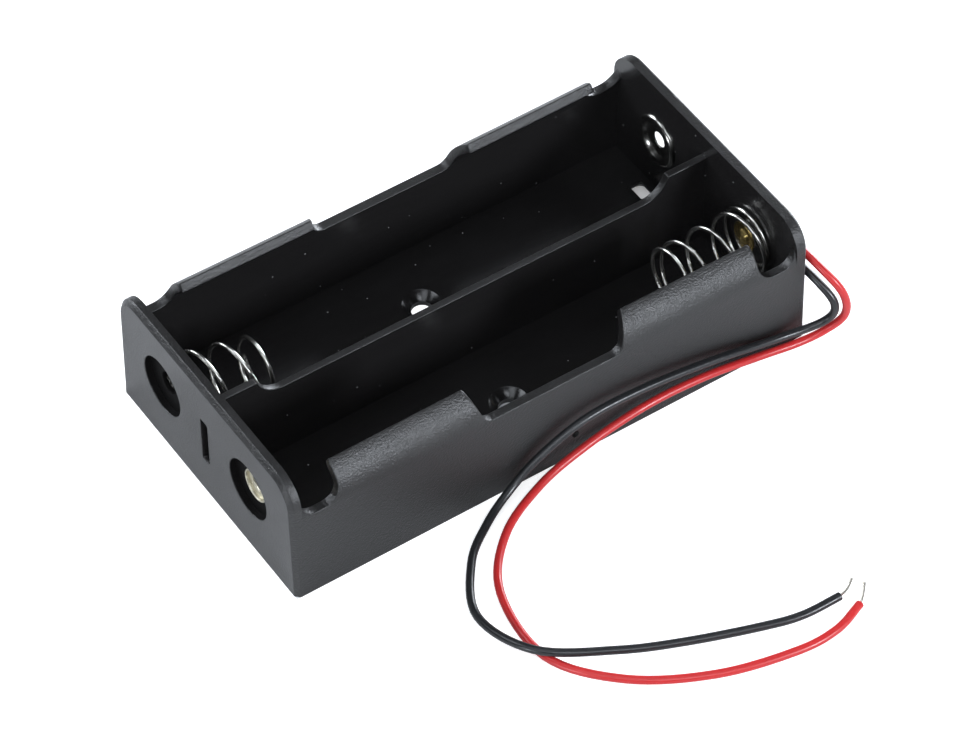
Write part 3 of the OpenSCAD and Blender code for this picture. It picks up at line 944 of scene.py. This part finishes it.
class CELLHOLDER_OT_springs(bpy.types.Operator):
    """Makes the two coil springs at their free length, as they stand before a cell presses them."""

    bl_idname = "cell_holder.springs"
    bl_label = "Springs"

    # How far a cell presses a spring, in millimetres
    press = 7
    # Free length and end radius in millimetres, open turns, angle at which the wire starts round its eye,
    # and how far the coils' axis hangs down and moves to the side at the wall and at the free end
    springs = {
        "front": {
            "free": 12.6, "end_r": 4.4, "turns": 2.75, "phase": 83, "hang": ((0.6, -0.3), (0.7, -0.4)),
        },
        "rear": {
            "free": 11.5, "end_r": 3.8, "turns": 2.45, "phase": 283, "hang": ((-0.3, 1.2), (3.6, 1.3)),
        },
    }

    def execute(self, context):
        seats = {"front": off_wall(-1), "rear": off_wall(-1, sizes("contact_sizes").strip, True)}
        for name, spring in self.springs.items():
            values = spring_values(spring)
            tree, identifiers = spring_tree(values)
            mesh = baked(linked("Base"), tree, identifiers, values)
            mesh.transform(seats[name])
            coil = new_object(f"{name}_coil_wire", mesh, "Nickel-plated wire")
            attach(coil, "tray")
            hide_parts(f"{name}_spring")
            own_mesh(coil)
        return {"FINISHED"}


class CELLHOLDER_OT_shell(bpy.types.Operator):
    """Makes the moulded tray: floor, rib, end walls with recesses, and side walls with curled lips."""

    bl_idname = "cell_holder.shell"
    bl_label = "Shell"

    def execute(self, context):
        s, c = sizes("shell_sizes"), sizes("contact_sizes")
        parts = [self.floor(s, c), self.rib(s)]
        for end in (-1, 1):
            parts.append(self.end_wall(s, c, end))
            parts.append(self.side_wall(s, end))
        shell = self.joined(parts)
        shell.name = "moulded_tray"
        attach(shell, "tray")
        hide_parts("case")
        return {"FINISHED"}

    def floor(self, s, c):
        """Floor with countersunk screw holes and a window under each plus contact."""
        x, y = CASE_HIGH.x - s.end_t / 2, CASE_HIGH.y - s.side_t / 2
        plate, foot, t = Plate(), -FOOT / 2, s.floor_t
        corners = [Vector((x, y)), Vector((-x, y)), Vector((-x, -y)), Vector((x, -y))]
        plate.rim(corners, [(0, foot), (0, t)])
        hole, sink, ease = s.screw_d / 2, s.sink_d / 2, 0.05 * MM
        profile = [(hole, foot), (hole, t - (sink - hole)), (sink, t - ease), (sink + 0.12 * MM, t)]
        # The window widens downwards
        wide, below = 1.05 * MM, t - 0.3 * MM
        flare = [(wide, foot), (wide, 0), (0.02 * MM, below), *rim_profile(t, 0, 0.1 * MM, 2)[-3:]]
        inner, axis = CASE_HIGH.x - s.end_t, c.pitch / 2
        for end in (-1, 1):
            plate.turned_hole(0, end * axis, profile, finish=POLISHED)
            # The window lies between these distances from the end wall and from the cell's axis
            low = Vector((inner - 2.8 * MM, axis - 0.7 * MM)) * end
            high = Vector((inner - 1.1 * MM, axis + 1.8 * MM)) * end
            corners = [(low.x, low.y), (high.x, low.y), (high.x, high.y), (low.x, high.y)]
            window = rounded([(*corner, 0.15 * MM) for corner in corners], 3)
            plate.rim(window, flare, hole=True)
        plate.close((MOULDED, POLISHED))
        return plate.mapped("Floor plate", lambda x, y, z: Vector((x, y, z)))

    def rib(self, s):
        """Rib between the cells, with a hollow before each of its raised ends."""
        rise = math.degrees(math.asin((s.rib_r - s.rib_end_z + s.rib_z) / s.rib_r))
        inner = CASE_HIGH.x - s.end_t * 0.4
        right = arc((s.rib_hollow_x, s.rib_z + s.rib_r), s.rib_r, 270, 360 - rise, 12)
        # The raised end has a rounded shoulder
        round_r = 0.35 * MM
        right += arc((right[-1].x + round_r, s.rib_end_z - round_r), round_r, 170, 90, 4)
        right += [Vector((inner, s.rib_end_z)), Vector((inner, s.floor_t / 2))]
        left = [Vector((-p.x, p.y)) for p in reversed(right)]
        plate = Plate()
        plate.rim([*right, *left], rim_profile(s.rib_t, s.rim, s.rim))
        plate.close((POLISHED, POLISHED))
        return plate.mapped("Rib plate", lambda x, y, z: Vector((x, s.rib_t / 2 - z, y)))

    def end_wall(self, s, c, end):
        """End wall with a rounded outer edge, two recesses and, at the near end, the link strip's slot."""
        top, foot = CASE_HIGH.y - s.lean * CASE_HIGH.z, CASE_HIGH.y + s.lean * FOOT
        corners = [(foot, -FOOT, 0), (top, CASE_HIGH.z, s.corner_r), (-top, CASE_HIGH.z, s.corner_r)]
        plate = Plate()
        # The lead end's outer edge is half as wide, and its recesses open out more, for the leads' joints
        rounding, edge = (s.end_edge, 0.12 * MM) if end < 0 else (s.end_edge / 2, 0.7 * MM)
        outline = rounded([*corners, (-foot, -FOOT, 0)], 16)
        plate.rim(outline, bevel_profile(s.end_t, rounding, 0.1 * MM))
        wide, step, fillet, small = s.recess_d / 2, s.end_t - s.recess_t, 0.3 * MM, 0.12 * MM
        for y, d in ((c.pitch / 2, s.boss_d), (-c.pitch / 2, s.rivet_hole_d)):
            r = d / 2
            profile = [(r + small, 0), (r + small * 0.3, small * 0.3), (r, small), (r, step - small)]
            profile += [(r + small * 0.3, step - small * 0.3), (r + small, step), (wide - fillet, step)]
            profile += [(wide - fillet * 0.3, step + fillet * 0.3), (wide, step + fillet)]
            matt = len(profile)
            profile += [(wide, s.end_t - edge), (wide + edge * 0.3, s.end_t - edge * 0.3)]
            profile += [(wide + edge, s.end_t)]
            # The hole and the recess, up to the recess's rounded edge, take the grained finish with painted
            # shade
            plate.turned_hole(y, c.height, profile, finish=(MATT_SHADED,) * matt + (MOULDED,) * 2)
        if end < 0:
            half, low, high, ease = 0.8 * MM, 6 * MM, 13.4 * MM, 0.3 * MM
            corners = [(-half, low), (half, low), (half, high), (-half, high)]
            slot = rounded([(*corner, ease) for corner in corners], 4)
            plate.rim(slot, rim_profile(s.end_t, small, small, 2), hole=True)
        plate.close((POLISHED, MOULDED))
        inner = CASE_HIGH.x - s.end_t
        return plate.mapped("End plate", lambda x, y, z: Vector((end * (inner + z), end * x, y)))

    def side_wall(self, s, side):
        """Side wall, drawn flat and then bent: it leans and bows inwards, and its lips curl over."""
        tilt = math.atan(s.lean)
        centre_z = s.curl_z - s.curl_r * math.sin(tilt)
        straight = s.curl_z / math.cos(tilt)

        def run(z):
            """Distance along the outer face up to a height."""
            if z <= s.curl_z:
                return z / math.cos(tilt)
            return straight + s.curl_r * (math.asin((z - centre_z) / s.curl_r) - tilt)

        # The outer face lies a hair inside the end walls' edges, so that the two never share a plane
        skin = CASE_HIGH.y - 0.004 * MM
        inner = CASE_HIGH.x - s.end_t
        lip, top = inner - s.notch_w, s.lip_z + 0.3 * MM
        # Half of the outline from the finger cut-out on, with the rounding of each corner
        half = [
            (s.cut_low, s.low_z, 1.6 * MM),
            (s.cut_high, top, 1.2 * MM),
            (lip, top, 0.8 * MM),
            (lip, s.low_z, 2.3 * MM),
            (inner, s.low_z, 2.3 * MM),
            (inner, s.lip_z, 0),
            (inner + s.end_t * 0.3, s.lip_z, 0),
            (inner + s.end_t * 0.3, -FOOT * 0.75, 0),
        ]
        outline = rounded([(-x, z, r) for x, z, r in reversed(half)] + half, 10)
        outline = [Vector((p.x, run(min(p.y, s.lip_z)))) for p in outline]
        plate = Plate()
        plate.rim(outline, rim_profile(s.side_t, s.rim, s.rim, 3))
        if side < 0:
            # The front wall has a 1 mm hole low down near its middle
            hole = [(0.52 * MM, 0), (0.5 * MM, 0.04 * MM), (0.5 * MM, s.side_t)]
            plate.turned_hole(-3 * MM, 3.6 * MM, hole, 24)
        plate.close((MOULDED, POLISHED))
        plate.cut(0, [i * 4 * MM for i in range(-9, 10)])
        plate.cut(1, [straight + (run(s.lip_z) - straight) * i / 16 for i in range(16)])

        def bent(x, along, deep):
            """Place of the flat wall's point at x, this far up along its outer face and this deep in it."""
            share = max(0.0, 1 - (x / inner) ** 2)
            lean = s.lean + s.bow * share
            if along <= straight:
                y = skin - lean * along * math.cos(tilt) - deep * math.cos(tilt)
                z = along * math.cos(tilt) - deep * math.sin(tilt) * max(0.0, min(1.0, along / (3 * MM)))
            else:
                angle = tilt + (along - straight) / s.curl_r
                r = s.curl_r - deep
                start = skin - lean * s.curl_z
                y = start - s.curl_r * math.cos(tilt) + r * math.cos(angle)
                z = centre_z + r * math.sin(angle)
            return Vector((side * x, side * y, z))

        return plate.mapped("Side plate", bent)

    def joined(self, parts):
        """One closed solid out of the plates, with flat faces that stay flat next to their rounded rims."""
        for part in parts:
            for finish in TRAY_FINISHES:
                part.data.materials.append(material(finish))
        below, far = Plate(), CASE_HIGH * 2
        corners = [(far.x, far.y), (-far.x, far.y), (-far.x, -far.y), (far.x, -far.y)]
        below.rim([Vector(corner) for corner in corners], [(0, -2 * FOOT), (0, 0)])
        below.close()
        parts.append(below.mapped("Below the underside", lambda x, y, z: Vector((x, y, z))))
        base = parts.pop(0)
        for part in parts:
            step = base.modifiers.new(part.name, "BOOLEAN")
            step.operation = "DIFFERENCE" if part == parts[-1] else "UNION"
            step.solver, step.object = "MANIFOLD", part
        mesh = evaluated_mesh(base)
        for part in parts:
            bpy.data.objects.remove(part)
        made = linked("Shell", mesh)
        shade(mesh, 35)
        even = made.modifiers.new("Even faces", "WEIGHTED_NORMAL")
        even.keep_sharp, even.weight = True, 50
        return made


class CELLHOLDER_OT_contacts(bpy.types.Operator):
    """Makes the two pressed plus contacts and the brass rivet, and finishes the link strip."""

    bl_idname = "cell_holder.contacts"
    bl_label = "Contacts"

    def execute(self, context):
        s, strip = sizes("shell_sizes"), sizes("contact_sizes").strip
        depth = s.end_t - s.recess_t
        # The far contact and the link strip take nickel darkened as painted shade
        self.plus_contact("far", off_wall(1), depth, "Nickel plate painted shade")
        self.plus_contact("near", off_wall(1, strip, True), depth + strip, "Nickel-plated steel")
        self.rivet(off_wall(-1))
        paint("link_strip", "Nickel plate painted shade")
        return {"FINISHED"}

    def plus_contact(self, end, place, depth, finish):
        """Pressed contact: a broad rolled bead, a dish with a hole, and a cup set in the wall's hole."""
        # Pairs of radius and height in millimetres; the cup reaches back through the wall
        back = -depth / MM
        dish = [(1.15, -0.45), (1.12, -0.4), (1.12, -0.3), (1.17, -0.24), (1.32, -0.22), (1.6, -0.23)]
        dish += [(1.9, -0.21), (2.2, -0.13), (2.42, 0)]
        bead = [(2.58, 0.16), (2.76, 0.34), (2.97, 0.48), (3.2, 0.55), (3.43, 0.53), (3.64, 0.43)]
        bead += [(3.8, 0.27), (3.89, 0.1), (3.9, 0.04), (3.84, 0)]
        cup = [(2.35, 0), (2.35, back + 0.14), (2.3, back + 0.04), (2.2, back), (2.09, back + 0.04)]
        cup += [(2.05, back + 0.13), (2.05, -0.46), (1.99, -0.455), (1.8, -0.45)]
        bm = turned([*dish, *bead, *cup, dish[0]])
        made = finished(bm, f"{end}_plus_contact", place, finish)
        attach(made, "tray")
        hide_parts(f"{end}_contact")

    def rivet(self, place):
        """Brass rivet: a dome in a flange that holds the spring's eye, and a flared tail in the recess."""
        dome = [(0, 1.46), (0.35, 1.43), (0.7, 1.33), (1.0, 1.16), (1.22, 0.97), (1.34, 0.84)]
        flange = [(1.42, 0.79), (1.55, 0.79), (1.8, 0.86), (2.0, 0.85), (2.1, 0.77), (2.12, 0.68)]
        flange += [(2.02, 0.61)]
        tail = [(1.45, 0.6), (1.45, -0.6), (1.98, -0.6), (2.0, -0.85), (1.94, -1.0), (1.8, -1.08)]
        tail += [(1.5, -1.1)]
        bm = turned([*dome, *flange, *tail, (0, -1.1)])
        made = finished(bm, "brass_rivet", place, "Brass")
        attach(made, "tray")
        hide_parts("spring_rivet")


class CELLHOLDER_PT_panel(bpy.types.Panel):
    """Lists the steps and their sizes."""

    bl_label = "Cell holder"
    bl_space_type = "VIEW_3D"
    bl_region_type = "UI"
    bl_category = "Cell holder"

    def draw(self, context):
        for step in STEPS:
            self.layout.operator(step.bl_idname)
        for group in GROUPS:
            shown = getattr(context.scene, group)
            for key in shown.__annotations__:
                self.layout.prop(shown, key)


STEPS = (
    CELLHOLDER_OT_stage,
    CELLHOLDER_OT_leads,
    CELLHOLDER_OT_shell,
    CELLHOLDER_OT_springs,
    CELLHOLDER_OT_contacts,
)
GROUPS = {
    "shell_sizes": ShellSizes,
    "contact_sizes": ContactSizes,
    "lead_sizes": LeadSizes,
    "holder_colours": HolderColours,
}


def register():
    for kind in (*GROUPS.values(), *STEPS, CELLHOLDER_PT_panel):
        bpy.utils.register_class(kind)
    for name, kind in GROUPS.items():
        setattr(bpy.types.Scene, name, bpy.props.PointerProperty(type=kind))


def unregister():
    for name in GROUPS:
        delattr(bpy.types.Scene, name)
    for kind in (CELLHOLDER_PT_panel, *reversed(STEPS), *reversed(GROUPS.values())):
        bpy.utils.unregister_class(kind)


def main():
    """Makes the whole scene."""
    register()
    for step in STEPS:
        family, name = step.bl_idname.split(".")
        getattr(getattr(bpy.ops, family), name)()


if __name__ == "__main__":
    main()
